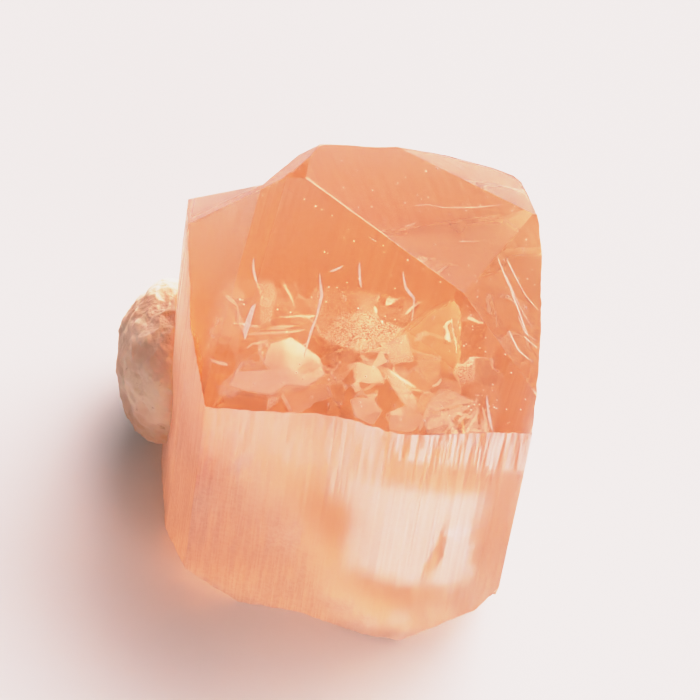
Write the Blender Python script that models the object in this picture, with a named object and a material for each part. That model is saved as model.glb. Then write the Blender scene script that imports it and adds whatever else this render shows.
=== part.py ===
"""Imperial topaz: one stubby prism, broken off at its root, with a knob of pale matrix on its back corner.

Metres, +Z up. The origin is under the middle of the whole specimen, on the surface that it stands on.
The crystal's long axis leans a little back and to the right, because the break that it stands on is oblique.
An outline point is where a prism edge meets the ground; the prism's sides follow the long axis up from there.
"""

import math

import bmesh
import bpy
from mathutils import Matrix, Vector, noise

MM = 0.001

# Driving dimensions.
CROWN_HEIGHT = 21.3 * MM  # from the ground to the point where the three large end faces meet
LEAN_RIGHT = 0.10  # how far the long axis moves to +X for each unit of height
LEAN_BACK = 0.13  # and to +Y
CROWN_FOOT = Vector((4.90 * MM, -4.15 * MM))  # where the long axis through the crown point meets the ground
JOINT_GAP = 0.3 * MM  # between the crystal and the matrix that it grew on

# The prism's outline at ground level, from CROWN_FOOT, anticlockwise from its front left edge.
OUTLINE_MM = (
    (-12.45, -3.00),  # front left edge
    (-5.93, -4.32),  # start of the proud, striated front face
    (-2.82, -5.54),
    (3.61, -6.54),  # front right edge
    (3.85, -3.90),
    (4.22, -0.25),
    (4.50, 4.30),
    (4.42, 7.40),
    (4.10, 10.60),
    (3.95, 11.65),
    (3.55, 12.20),  # back right edge
    (2.40, 12.30),
    (-0.30, 11.75),
    (-3.92, 10.22),
    (-8.17, 8.92),  # back left edge
    (-10.02, 6.57),  # foot of the re-entrant notch
    (-13.40, 10.20),  # the horn, a second crystal grown parallel to the first
    (-13.72, 4.87),
    (-13.37, 0.47),
)

# The end faces: how far each is tipped from level, which way it looks (anticlockwise from +X), and one
# point of it from the crown point, all along the world's axes.
END_FACES = {
    "front": (28.0, -120.0, (0.0, 0.0, 0.0)),
    "back": (28.9, 43.6, (0.0, 0.0, 0.0)),
    "right": (36.5, 17.6, (0.0, 0.0, 0.0)),
    "back_left": (24.6, 107.2, (-7.28, 5.76, 0.72)),
    "far_back": (45.0, 54.1, (-0.95, 9.25, -3.14)),
    "horn": (52.0, 130.0, (-13.90, 4.63, -1.56)),
}

# Chips off the broken root: tilt below level, direction and one point of each, from CROWN_FOOT.
ROOT_CHIPS = {
    "front_right": (16.0, -50.0, (3.61, -6.54, 6.0)),
    "front_right_root": (34.0, -52.0, (-0.92, -5.84, 0.0)),
    "front_left": (35.0, -140.0, (-12.45, -3.00, 2.2)),
    "back_right": (40.0, 50.0, (3.55, 12.20, 2.6)),
}

# The matrix knob: its centre from CROWN_FOOT, half sizes, and the size of its lumps.
KNOB_CENTRE_MM = (-13.00, 8.25, 4.70)
KNOB_HALF_MM = (3.00, 4.35, 4.55)
KNOB_LUMP_SIZE = 3.4 * MM
KNOB_LUMP_HEIGHT = 0.45 * MM
KNOB_FOOT_HEIGHT = 0.25 * MM  # the knob's flattened underside clears the ground by this much
NOISE_SEED = Vector((3.1, 7.7, 1.9))

TOPAZ = ("topaz", (0.86, 0.36, 0.16, 1.0), 0.08)
MATRIX = ("pale_matrix", (0.66, 0.42, 0.27, 1.0), 0.75)


def clear_scene():
    for obj in list(bpy.data.objects):
        bpy.data.objects.remove(obj)


def make_material(name, colour, roughness):
    material = bpy.data.materials.new(name)
    material.use_nodes = True
    shader = material.node_tree.nodes["Principled BSDF"]
    shader.inputs["Base Color"].default_value = colour
    shader.inputs["Roughness"].default_value = roughness
    shader.inputs["Metallic"].default_value = 0.0
    return material


def new_collection(name):
    collection = bpy.data.collections.new(name)
    bpy.context.scene.collection.children.link(collection)
    return collection


def direction(tilt_deg, heading_deg):
    """The unit vector tipped this far from straight up, towards this heading."""
    tilt, heading = math.radians(tilt_deg), math.radians(heading_deg)
    return Vector((math.sin(tilt) * math.cos(heading), math.sin(tilt) * math.sin(heading), math.cos(tilt)))


def outline_points(grow):
    """The outline in metres, with each side moved outwards by grow and the corners mitred."""
    points = [Vector(p) * MM for p in OUTLINE_MM]
    moved = []
    for i, point in enumerate(points):
        before, after = points[i - 1], points[(i + 1) % len(points)]
        first = Vector((point.y - before.y, before.x - point.x)).normalized()
        second = Vector((after.y - point.y, point.x - after.x)).normalized()
        moved.append(CROWN_FOOT + point + grow * (first + second) / (1 + first.dot(second)))
    return moved


def prism_mesh(grow):
    """The outline as a filled 2D curve, extruded past both ends of the crystal and leaned over."""
    curve = bpy.data.curves.new("outline", "CURVE")
    curve.dimensions = "2D"
    curve.fill_mode = "BOTH"
    curve.extrude = CROWN_HEIGHT
    points = outline_points(grow)
    spline = curve.splines.new("POLY")
    spline.points.add(len(points) - 1)
    for knot, point in zip(spline.points, points):
        knot.co = (point.x, point.y, 0.0, 1.0)
    spline.use_cyclic_u = True
    guide = bpy.data.objects.new("outline", curve)
    bpy.context.scene.collection.objects.link(guide)
    bpy.context.view_layer.update()
    graph = bpy.context.evaluated_depsgraph_get()
    mesh = bpy.data.meshes.new_from_object(guide.evaluated_get(graph))
    bpy.data.objects.remove(guide)
    lean = Matrix.Identity(4)
    lean[0][2], lean[1][2] = LEAN_RIGHT, LEAN_BACK
    lift = Matrix.Translation((0.0, 0.0, CROWN_HEIGHT / 2))
    mesh.transform(lean @ lift)
    return mesh


def cut_flat(bm, point, outward):
    """Removes what is on the outward side of a plane, and closes the cut with one flat face."""
    everything = bm.verts[:] + bm.edges[:] + bm.faces[:]
    cut = bmesh.ops.bisect_plane(
        bm, geom=everything, dist=1e-7, plane_co=point, plane_no=outward, clear_outer=True
    )
    rim = [e for e in cut["geom_cut"] if isinstance(e, bmesh.types.BMEdge)]
    if rim:
        bmesh.ops.edgeloop_fill(bm, edges=rim)


def crown_point():
    """The point where the front, back and right end faces meet."""
    return Vector(
        (CROWN_FOOT.x + LEAN_RIGHT * CROWN_HEIGHT, CROWN_FOOT.y + LEAN_BACK * CROWN_HEIGHT, CROWN_HEIGHT)
    )


def crystal_solid(name, grow=0.0):
    """The crystal, with every face moved outwards by grow."""
    bm = bmesh.new()
    bm.from_mesh(prism_mesh(grow))
    bmesh.ops.remove_doubles(bm, verts=bm.verts[:], dist=1e-6)
    bmesh.ops.dissolve_limit(bm, angle_limit=math.radians(0.5), verts=bm.verts[:], edges=bm.edges[:])
    cut_flat(bm, Vector((0.0, 0.0, -grow)), Vector((0.0, 0.0, -1.0)))
    for tilt, heading, offset in END_FACES.values():
        outward = direction(tilt, heading)
        cut_flat(bm, crown_point() + Vector(offset) * MM + grow * outward, outward)
    for tilt, heading, offset in ROOT_CHIPS.values():
        outward = direction(90.0 + tilt, heading)
        height = offset[2] * MM
        foot = Vector((CROWN_FOOT.x + LEAN_RIGHT * height, CROWN_FOOT.y + LEAN_BACK * height, 0.0))
        cut_flat(bm, foot + Vector(offset) * MM + grow * outward, outward)
    bmesh.ops.recalc_face_normals(bm, faces=bm.faces[:])
    mesh = bpy.data.meshes.new(name)
    bm.to_mesh(mesh)
    bm.free()
    return bpy.data.objects.new(name, mesh)


def knob_solid(name):
    """An egg of matrix, made lumpy along its own normals and flattened just above the ground."""
    bm = bmesh.new()
    bmesh.ops.create_icosphere(bm, subdivisions=4, radius=1.0)
    centre = Vector((CROWN_FOOT.x, CROWN_FOOT.y, 0.0)) + Vector(KNOB_CENTRE_MM) * MM
    for vert in bm.verts:
        outward = vert.co.normalized()
        egg = Vector([outward[i] * KNOB_HALF_MM[i] * MM for i in range(3)])
        lump = noise.fractal(egg / KNOB_LUMP_SIZE + NOISE_SEED, 0.8, 2.0, 3)
        vert.co = centre + egg + outward * lump * KNOB_LUMP_HEIGHT
    cut_flat(bm, Vector((0.0, 0.0, KNOB_FOOT_HEIGHT)), Vector((0.0, 0.0, -1.0)))
    mesh = bpy.data.meshes.new(name)
    bm.to_mesh(mesh)
    bm.free()
    return bpy.data.objects.new(name, mesh)


def cut_by(obj, cutter):
    """Takes the cutter's shape out of obj."""
    modifier = obj.modifiers.new("fit_to_crystal", "BOOLEAN")
    modifier.operation = "DIFFERENCE"
    modifier.object = cutter
    modifier.solver = "EXACT"


def main():
    clear_scene()
    specimen = new_collection("imperial_topaz")
    cutters = new_collection("cutters")

    crystal = crystal_solid("topaz_crystal")
    crystal.data.materials.append(make_material(*TOPAZ))
    specimen.objects.link(crystal)

    seat = crystal_solid("crystal_seat", grow=JOINT_GAP)
    seat.hide_render = True
    seat.display_type = "WIRE"
    cutters.objects.link(seat)

    knob = knob_solid("matrix_knob")
    knob.data.materials.append(make_material(*MATRIX))
    knob.data.shade_smooth()
    knob.data.set_sharp_from_angle(angle=math.radians(35.0))
    specimen.objects.link(knob)
    cut_by(knob, seat)


main()
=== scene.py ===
"""The looks of an imperial topaz: a clear orange prism with a healed crack, and a knob of pale matrix."""

import logging
import math
from collections.abc import Callable, Iterable, Mapping, Sequence
from dataclasses import dataclass, field
from enum import Enum

import bpy
import numpy as np
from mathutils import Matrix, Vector
from numpy.typing import NDArray

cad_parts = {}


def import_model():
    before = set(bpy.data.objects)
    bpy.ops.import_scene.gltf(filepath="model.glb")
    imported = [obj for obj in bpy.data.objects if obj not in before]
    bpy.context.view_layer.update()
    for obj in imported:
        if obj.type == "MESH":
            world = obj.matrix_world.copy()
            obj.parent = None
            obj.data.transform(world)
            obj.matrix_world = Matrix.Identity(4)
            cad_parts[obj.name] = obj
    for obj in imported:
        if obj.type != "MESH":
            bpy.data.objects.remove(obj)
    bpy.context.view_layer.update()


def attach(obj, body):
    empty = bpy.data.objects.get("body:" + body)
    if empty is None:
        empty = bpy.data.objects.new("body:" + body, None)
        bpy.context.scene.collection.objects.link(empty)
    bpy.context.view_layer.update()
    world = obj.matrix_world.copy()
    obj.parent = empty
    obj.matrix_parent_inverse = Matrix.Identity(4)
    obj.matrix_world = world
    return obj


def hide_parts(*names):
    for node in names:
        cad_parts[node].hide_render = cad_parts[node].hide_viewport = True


Array = NDArray[np.float64]
Whole = NDArray[np.int32]
Mesh = tuple[Array, Whole]
Pair = tuple[float, float]
Triple = tuple[float, float, float]
Colour = Triple
Piece = bpy.types.Object
Material = bpy.types.Material
Socket = bpy.types.NodeSocket
Settings = Mapping[str, object]
Sockets = Mapping[str | int, object]

MM = 0.001
TINY = 1e-6
AXIS_LEAN: Pair = (0.10, 0.13)
TOPAZ_INDEX = 1.62
TOPAZ_COLOUR: Colour = (0.985, 0.50, 0.0)
UNTINTED: Colour = (1.0, 1.0, 1.0)
BODY = "root"
BITS_32 = 0xFFFFFFFF
SEED_STEP = 2654435761
AXIS_PRIMES = (73856093, 19349663, 83492791)
STIRS = ((15, 2246822519), (13, 3266489917))
LAYER_SHIFT = 17.3
BOUNCES = {"max": 12, "diffuse": 2, "glossy": 9, "transmission": 12, "transparent_max": 16}
log = logging.getLogger("imperial_topaz")


# ---- Numbers over space ----


def smooth(low: float, high: float, value: Array) -> Array:
    """Ramps from 0 at low to 1 at high as 3t^2 - 2t^3.

    Args:
        low: Where the ramp starts.
        high: Where it ends; it may be below low, which turns the ramp round.
        value: The numbers to ramp.

    Returns:
        Numbers from 0 to 1, in the shape of value.
    """
    t = np.clip((value - low) / (high - low), 0.0, 1.0)
    return t * t * (3.0 - 2.0 * t)


def lattice_value(cell: NDArray[np.int64], seed: int) -> Array:
    """Gives each whole-number cell a fixed random value by mixing the bits of its indices.

    Args:
        cell: Whole numbers, with the axes last.
        seed: Which set of random values to use.

    Returns:
        Numbers from -1 to 1, one for each cell.
    """
    bits = np.uint64(BITS_32)
    mixed = np.full(cell.shape[:-1], seed * SEED_STEP & BITS_32, dtype=np.uint64)
    for axis, prime in zip(range(cell.shape[-1]), AXIS_PRIMES):
        mixed ^= (cell[..., axis].astype(np.int64) * prime).astype(np.uint64) & bits
        for shift, factor in STIRS:
            mixed = (mixed ^ (mixed >> np.uint64(shift))) * np.uint64(factor) & bits
    return mixed.astype(np.float64) / (BITS_32 / 2.0) - 1.0


def value_noise(points: Array, seed: int) -> Array:
    """Smooth noise: the random values of the cell corners around a point, blended by 6t^5 - 15t^4 + 10t^3.

    Args:
        points: Positions in cells, with 1, 2 or 3 axes last.
        seed: Which noise to use.

    Returns:
        Numbers from -1 to 1, one for each point.
    """
    base = np.floor(points)
    part = points - base
    fade = part**3 * (part * (part * 6.0 - 15.0) + 10.0)
    cell = base.astype(np.int64)
    axes = points.shape[-1]
    total = np.zeros(points.shape[:-1])
    for corner in range(2**axes):
        step = np.array([corner >> axis & 1 for axis in range(axes)])
        weight = np.prod(np.where(step == 1, fade, 1.0 - fade), axis=-1)
        total += weight * lattice_value(cell + step, seed)
    return total


def layered_noise(points: Array, seed: int, octaves: int, gain: float = 0.5) -> Array:
    """Adds value noise at doubled frequencies, each layer gain times as strong as the last.

    Args:
        points: Positions in cells of the first layer.
        seed: Which noise to use.
        octaves: How many layers.
        gain: Strength of a layer over the one before it.

    Returns:
        Numbers from about -1 to 1.
    """
    total, strength = np.zeros(points.shape[:-1]), 1.0
    reach = sum(gain**k for k in range(octaves))
    for octave in range(octaves):
        total += strength * value_noise(points * 2.0**octave + LAYER_SHIFT * octave, seed + octave)
        strength *= gain
    return total / reach


@dataclass(frozen=True)
class Ripple:
    """Layered noise as a height: how high and wide its largest waves are, and how many layers it has."""

    height: float
    cell: float
    octaves: int
    seed: int

    def at(self, points: Array) -> Array:
        """The height at each place."""
        return self.height * layered_noise(points / self.cell, self.seed, self.octaves)


def tipped(tilt_deg: float, heading_deg: float) -> Array:
    """The unit vector that is tipped from straight up by a tilt, towards a heading."""
    tilt, turn = math.radians(tilt_deg), math.radians(heading_deg)
    return np.array([math.sin(tilt) * math.cos(turn), math.sin(tilt) * math.sin(turn), math.cos(tilt)])


# ---- Meshes ----


def closed_rings(rings: Array, first: Array, last: Array) -> Mesh:
    """Joins rings of points into a closed skin, with one pole before the first ring and one after the last.

    A ring runs anticlockwise seen from the first pole, so the faces point outwards.

    Args:
        rings: Points as (ring, place in the ring, xyz).
        first: The pole before the first ring.
        last: The pole after the last ring.

    Returns:
        The points as (n, 3), and the triangles as (m, 3).
    """
    count, around = rings.shape[:2]
    index = np.arange(count * around).reshape(count, around)
    a, b = index[:-1], index[1:]
    c, d = np.roll(b, -1, axis=1), np.roll(a, -1, axis=1)
    upper = np.stack([a, b, c], axis=-1).reshape(-1, 3)
    lower = np.stack([a, c, d], axis=-1).reshape(-1, 3)
    start, end = index[0], index[-1]
    pole, foot = count * around, count * around + 1
    fan = np.stack([np.full(around, pole), start, np.roll(start, -1)], axis=-1)
    base = np.stack([np.full(around, foot), np.roll(end, -1), end], axis=-1)
    points = np.concatenate([rings.reshape(-1, 3), first[None], last[None]])
    return points, np.concatenate([fan, upper, lower, base]).astype(np.int32)


def closed_sheet(upper: Array, lower: Array) -> Mesh:
    """Joins two grids of points into a closed sheet, with a strip round its border.

    Args:
        upper: The upper side as (row, column, xyz), with rows running along +x and columns along +y.
        lower: The lower side, on the same grid.

    Returns:
        The points as (n, 3), and the triangles as (m, 3), which face outwards.
    """
    rows, columns = upper.shape[:2]
    index = np.arange(rows * columns).reshape(rows, columns)
    a, b, c, d = index[:-1, :-1], index[1:, :-1], index[1:, 1:], index[:-1, 1:]
    top = np.concatenate([np.stack([a, b, c], -1).reshape(-1, 3), np.stack([a, c, d], -1).reshape(-1, 3)])
    under = top[:, ::-1] + rows * columns
    border = np.concatenate([index[:, 0], index[-1, 1:], index[-2::-1, -1], index[0, -2:0:-1]])
    after = np.roll(border, -1)
    below, below_after = border + rows * columns, after + rows * columns
    strip = np.concatenate(
        [np.stack([border, below, below_after], -1), np.stack([border, below_after, after], -1)]
    )
    points = np.concatenate([upper.reshape(-1, 3), lower.reshape(-1, 3)])
    return points, np.concatenate([top, under, strip]).astype(np.int32)


@dataclass
class Batch:
    """Closed shapes collected into one piece, with the numbers that its material reads."""

    points: list[Array] = field(default_factory=list)
    faces: list[Whole] = field(default_factory=list)
    values: dict[str, list[Array]] = field(default_factory=dict)

    def add(self, points: Array, faces: Whole, **values: Array | float) -> None:
        """Adds a closed shape.

        Args:
            points: Points in mm, as (n, 3).
            faces: Triangles that count from the shape's own first point.
            values: For each stored number, one for every point or one for all.
        """
        start = sum(len(part) for part in self.points)
        self.points.append(points)
        self.faces.append(faces + start)
        for name, value in values.items():
            self.values.setdefault(name, []).append(np.broadcast_to(value, len(points)))

    def build(self, name: str, crease_deg: float) -> Piece:
        """Makes the piece.

        Args:
            name: Its name.
            crease_deg: Edges bent by more than this stay sharp.

        Returns:
            The piece, with the stored numbers on its points.
        """
        piece = mesh_object(name, np.concatenate(self.points), np.concatenate(self.faces), crease_deg)
        for key, parts in self.values.items():
            point_values(piece, key, np.concatenate(parts))
        return piece


def mesh_object(
    name: str, points: Array, faces: Whole, crease_deg: float, lines: Whole | None = None
) -> Piece:
    """Makes a mesh object at the origin from points in millimetres.

    Args:
        name: The piece's name.
        points: Points in mm, as (n, 3).
        faces: Triangles, as (m, 3).
        crease_deg: Edges bent by more than this stay sharp; the rest are shaded smooth.
        lines: For each point, bits for the lines that it is on; an edge along a line stays sharp too.

    Returns:
        The object, linked to the scene.
    """
    mesh = bpy.data.meshes.new(name)
    mesh.vertices.add(len(points))
    mesh.vertices.foreach_set("co", (points * MM).astype(np.float32).ravel())
    mesh.loops.add(faces.size)
    mesh.loops.foreach_set("vertex_index", faces.ravel())
    mesh.polygons.add(len(faces))
    mesh.polygons.foreach_set("loop_start", np.arange(0, faces.size, 3, dtype=np.int32))
    mesh.update(calc_edges=True)
    mesh.validate()
    mesh.shade_smooth()
    mesh.set_sharp_from_angle(angle=math.radians(crease_deg))
    if lines is not None:
        ends = np.empty(2 * len(mesh.edges), dtype=np.int32)
        mesh.edges.foreach_get("vertices", ends)
        sharp = np.empty(len(mesh.edges), dtype=bool)
        mesh.edges.foreach_get("use_edge_sharp", sharp)
        first, second = ends.reshape(-1, 2).T
        mesh.edges.foreach_set("use_edge_sharp", sharp | (lines[first] & lines[second] > 0))
    piece = bpy.data.objects.new(name, mesh)
    bpy.context.scene.collection.objects.link(piece)
    return piece


def point_values(piece: Piece, name: str, values: Array) -> None:
    """Stores one number for each point of a piece, for its material to read."""
    layer = piece.data.attributes.new(name, "FLOAT", "POINT")
    layer.data.foreach_set("value", values.astype(np.float32).ravel())


# ---- Materials ----


@dataclass(frozen=True)
class Mottle:
    """A noise with scale cells to the metre, and where it ramps from 0 to 1 when it is used as a mask."""

    scale: float
    detail: float = 2.0
    roughness: float = 0.6
    low: float = 0.0
    high: float = 1.0


class Bench:
    """Builds one node tree."""

    def __init__(self, tree: bpy.types.NodeTree) -> None:
        """Keeps the tree, emptied."""
        self.tree = tree
        tree.nodes.clear()

    def node(
        self, kind: str, settings: Settings | None = None, sockets: Sockets | None = None
    ) -> bpy.types.Node:
        """Adds a node.

        Args:
            kind: The node's type, such as ShaderNodeTexNoise.
            settings: Its own properties, set first.
            sockets: A value, a colour, a socket or a Signal for each input, by name or number.

        Returns:
            The node.
        """
        made = self.tree.nodes.new(kind)
        for key, value in (settings or {}).items():
            setattr(made, key, value)
        for key, value in (sockets or {}).items():
            socket = made.inputs[key]
            if isinstance(value, Signal):
                value = value.socket
            if isinstance(value, Socket):
                self.tree.links.new(value, socket)
            elif socket.type == "RGBA":
                socket.default_value = (*value, 1.0)
            else:
                socket.default_value = value
        return made

    def signal(
        self,
        kind: str,
        output: str | int = 0,
        settings: Settings | None = None,
        sockets: Sockets | None = None,
    ) -> "Signal":
        """Adds a node and gives one of its outputs, ready for arithmetic."""
        return Signal(self, self.node(kind, settings, sockets).outputs[output])

    def shader(self, kind: str, sockets: Sockets) -> Socket:
        """Adds a shader node, whose type is ShaderNode and this kind, and gives its output."""
        return self.node(f"ShaderNode{kind}", None, sockets).outputs[0]

    def object_place(self) -> "Signal":
        """The place on the piece, in metres from the specimen's origin."""
        return self.signal("ShaderNodeTexCoord", "Object")

    def axes(self, place: "Signal") -> list["Signal"]:
        """The three numbers of a place or direction."""
        parts = self.node("ShaderNodeSeparateXYZ", None, {0: place}).outputs
        return [Signal(self, part) for part in parts]

    def along_axis(self, place: "Signal", stretch: float) -> "Signal":
        """Gives a place that makes a pattern run along the crystal's leaning axis.

        Args:
            place: The place.
            stretch: What the height is multiplied by; below 1 it draws a pattern out along the axis.

        Returns:
            The place with the lean taken out.
        """
        x, y, z = self.axes(place)
        lean_x, lean_y = AXIS_LEAN
        straight = {0: x - z * lean_x, 1: y - z * lean_y, 2: z * stretch}
        return self.signal("ShaderNodeCombineXYZ", 0, None, straight)

    def stored(self, name: str) -> "Signal":
        """A number stored on the mesh's points."""
        return self.signal("ShaderNodeAttribute", "Fac", {"attribute_name": name})

    def noise(self, place: "Signal", mottle: Mottle) -> "Signal":
        """The mottle's noise, from 0 to 1."""
        sockets = {"Scale": mottle.scale, "Detail": mottle.detail, "Roughness": mottle.roughness}
        return self.signal("ShaderNodeTexNoise", "Fac", None, {"Vector": place} | sockets)

    def ramp(self, value: "Signal", low: float, high: float) -> "Signal":
        """Adds a smooth ramp.

        Args:
            value: The number to ramp.
            low: Where the ramp is 0.
            high: Where it is 1.

        Returns:
            A number from 0 to 1.
        """
        return self.signal(
            "ShaderNodeMapRange", "Result", {"interpolation_type": "SMOOTHSTEP"},
            {"Value": value, "From Min": low, "From Max": high},
        )

    def mask(self, place: "Signal", mottle: Mottle) -> "Signal":
        """The mottle's noise, ramped from its low to its high."""
        return self.ramp(self.noise(place, mottle), mottle.low, mottle.high)

    def broken(self, name: str, mask: "Signal") -> "Signal":
        """1 where the stored number is 0, and only what the mask leaves where it is 1."""
        return 1.0 - self.stored(name) * (1.0 - mask)

    def mix(self, factor: "Signal", first: "Signal | Colour", second: "Signal | Colour") -> "Signal":
        """A colour that goes from the first to the second as factor goes from 0 to 1."""
        return self.signal("ShaderNodeMix", 2, {"data_type": "RGBA"}, {0: factor, 6: first, 7: second})

    def bump(
        self, height: "Signal", depth: float, strength: float = 1.0, under: "Signal | None" = None
    ) -> "Signal":
        """Adds a bump.

        Args:
            height: The relief, from 0 to 1.
            depth: How many metres a height of 1 stands for.
            strength: The share of the bump that shows.
            under: The normal that it lies over, if that isn't the mesh's own.

        Returns:
            The bumped normal.
        """
        sockets = {"Height": height, "Distance": depth, "Strength": strength}
        if under is not None:
            sockets["Normal"] = under
        return self.signal("ShaderNodeBump", "Normal", None, sockets)

    def blend(self, factor: "Signal | float", first: Socket, second: Socket) -> Socket:
        """A surface that goes from the first shader to the second as factor goes from 0 to 1."""
        return self.shader("MixShader", {0: factor, 1: first, 2: second})

    def clear(self) -> Socket:
        """A surface that light passes as if it weren't there."""
        return self.shader("BsdfTransparent", {"Color": UNTINTED})

    def output(self, surface: Socket, volume: Socket | None = None) -> None:
        """Adds the material's output.

        Args:
            surface: The shader of its surface.
            volume: The shader of what fills it, if anything does.
        """
        sockets = {"Surface": surface}
        if volume is not None:
            sockets["Volume"] = volume
        self.node("ShaderNodeOutputMaterial", None, sockets)


class Signal:
    """A socket that takes part in Python arithmetic, each operation adding one Math node."""

    def __init__(self, bench: Bench, socket: Socket) -> None:
        """Keeps the bench that owns the tree, and the socket."""
        self.bench = bench
        self.socket = socket

    def _math(self, operation: str, *values: object) -> "Signal":
        """One Math node on these values."""
        return self.bench.signal("ShaderNodeMath", 0, {"operation": operation}, dict(enumerate(values)))

    def __add__(self, other: object) -> "Signal":
        """self + other."""
        return self._math("ADD", self, other)

    __radd__ = __add__

    def __sub__(self, other: object) -> "Signal":
        """self - other."""
        return self._math("SUBTRACT", self, other)

    def __rsub__(self, other: object) -> "Signal":
        """other - self."""
        return self._math("SUBTRACT", other, self)

    def __mul__(self, other: object) -> "Signal":
        """self * other."""
        return self._math("MULTIPLY", self, other)

    __rmul__ = __mul__


def new_material(name: str) -> tuple[Material, Bench]:
    """Starts a material.

    Args:
        name: Its name.

    Returns:
        The empty material, and the bench that builds its nodes.
    """
    material = bpy.data.materials.new(name)
    material.use_nodes = True
    return material, Bench(material.node_tree)


@dataclass(frozen=True)
class TopazFinish:
    """Clear orange topaz: light bends by its index, and blue and green fade with the way through it."""

    absorb_per_m: float = 73.0
    striae: Mottle = Mottle(9000.0, roughness=0.7)
    streaks: Mottle = Mottle(7000.0, low=0.43, high=0.55)
    pits: Mottle = Mottle(4000.0, low=0.42, high=0.60)
    stretch: float = 0.04
    striae_depth: float = 0.000006
    pit_depth: float = 0.000002
    pit_roughness: float = 0.4
    etched: Colour = (0.97, 0.93, 0.91)
    # painted shade: the dark grey that the whitish skin turns to on the lower left of the sides, where shade
    # falls
    painted_shade_grey: Colour = (0.34, 0.30, 0.29)
    # the tint of the pale film on the end faces: dust, and painted light on the low right of the back faces
    dust_and_light_tint: Colour = (1.0, 0.70, 0.42)
    etched_through: float = 0.25

    def material(self) -> Material:
        """Builds the material.

        Returns:
            The material, which reads the stored numbers "wall", 1 on a prism face and 0 on an end face,
            "frost", how rough it is, "skin", how whitish it is, "streak" and "grain", how much of that is
            broken into streaks along the growth and into grains, and the painted shade, how far the whitish
            skin is darkened to grey on the lower left of the sides, where shade falls.
        """
        material, bench = new_material("topaz")
        place = bench.object_place()
        along = bench.along_axis(place, self.stretch)
        wall = bench.stored("wall")
        pits = bench.noise(place, self.pits)
        grooves = bench.bump(bench.noise(along, self.striae) * wall, self.striae_depth)
        unevenness = pits * self.pit_roughness + (1.0 - self.pit_roughness / 2.0)
        polished = bench.shader(
            "BsdfPrincipled",
            {
                "Base Color": UNTINTED,
                "Roughness": bench.stored("frost") * unevenness,
                "IOR": TOPAZ_INDEX,
                "Transmission Weight": 1.0,
                "Normal": bench.bump(pits, self.pit_depth, under=grooves),
            },
        )
        grains = bench.ramp(pits, self.pits.low, self.pits.high)
        left = bench.broken("grain", grains) * bench.broken("streak", bench.mask(along, self.streaks))
        # on the sides the whitish skin turns dark grey as painted shade on the lower left
        pale = bench.mix(wall, self.dust_and_light_tint, bench.mix(bench.stored("stain"), self.etched, self.painted_shade_grey))
        matt_sockets = {"Base Color": pale, "Roughness": 1.0, "Specular IOR Level": 0.0}
        matt = bench.shader("BsdfPrincipled", matt_sockets)
        lit_through = bench.shader("BsdfTranslucent", {"Color": self.etched})
        skin = bench.blend(self.etched_through, matt, lit_through)
        volume = bench.shader("VolumeAbsorption", {"Color": TOPAZ_COLOUR, "Density": self.absorb_per_m})
        bench.output(bench.blend(bench.stored("skin") * left, polished, skin), volume)
        return material


@dataclass(frozen=True)
class CrackFinish:
    """What the finishes of a crack share: how much of it shows at each place."""

    name: str
    grains: Mottle = Mottle(14000.0, 3.0, low=0.40, high=0.64)

    def cover(self, bench: Bench, shader: Socket) -> None:
        """Ends the material: the shader where the crack shows, and nothing elsewhere.

        It reads the stored numbers "film", how much of the crack shows, and "grain", how much of that is
        broken into grains.

        Args:
            bench: The bench that builds the material.
            shader: The crack's own surface.
        """
        shown = bench.stored("film") * bench.broken("grain", bench.mask(bench.object_place(), self.grains))
        bench.output(bench.blend(shown, bench.clear(), shader))


@dataclass(frozen=True)
class OpenCrackFinish(CrackFinish):
    """A thin layer of air in the topaz: light that meets it at a slant is mirrored."""

    name: str = "crack_air"
    roughness: float = 0.25
    ripple: Mottle = Mottle(1900.0, 3.0)
    ripple_depth: float = 0.000004

    def material(self) -> Material:
        """Builds the material, whose index is air's as seen from inside the topaz.

        Returns:
            The material, which reads the same stored numbers as cover does.
        """
        material, bench = new_material(self.name)
        ripple = bench.noise(bench.object_place(), self.ripple)
        mirror = bench.shader(
            "BsdfGlass",
            {
                "Color": UNTINTED,
                "Roughness": self.roughness,
                "IOR": 1.0 / TOPAZ_INDEX,
                "Normal": bench.bump(ripple, self.ripple_depth),
            },
        )
        self.cover(bench, mirror)
        return material


@dataclass(frozen=True)
class VeilFinish(CrackFinish):
    """A pale film of tiny bubbles in a healed crack, pearly or matt, which passes a share of the light."""

    name: str = "crack_film"
    pale: Colour = (0.96, 0.93, 1.0)
    through: float = 0.2
    pearly: bool = True
    roughness: float = 0.42

    def material(self) -> Material:
        """Builds the material.

        Returns:
            The material, which reads the same stored numbers as cover does.
        """
        material, bench = new_material(self.name)
        if self.pearly:
            front = bench.shader("BsdfAnisotropic", {"Color": self.pale, "Roughness": self.roughness})
        else:
            front = bench.shader("BsdfDiffuse", {"Color": self.pale})
        lit_through = bench.shader("BsdfTranslucent", {"Color": self.pale})
        self.cover(bench, bench.blend(self.through, front, lit_through))
        return material


@dataclass(frozen=True)
class ZoneFinish:
    """A stretch of deeper colour in the topaz, with no surface of its own."""

    absorb_per_m: float = 30.0

    def material(self) -> Material:
        """Builds the material.

        Returns:
            The material, whose surface light passes unchanged.
        """
        material, bench = new_material("deeper_topaz")
        volume = bench.shader("VolumeAbsorption", {"Color": TOPAZ_COLOUR, "Density": self.absorb_per_m})
        bench.output(bench.clear(), volume)
        return material


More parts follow.
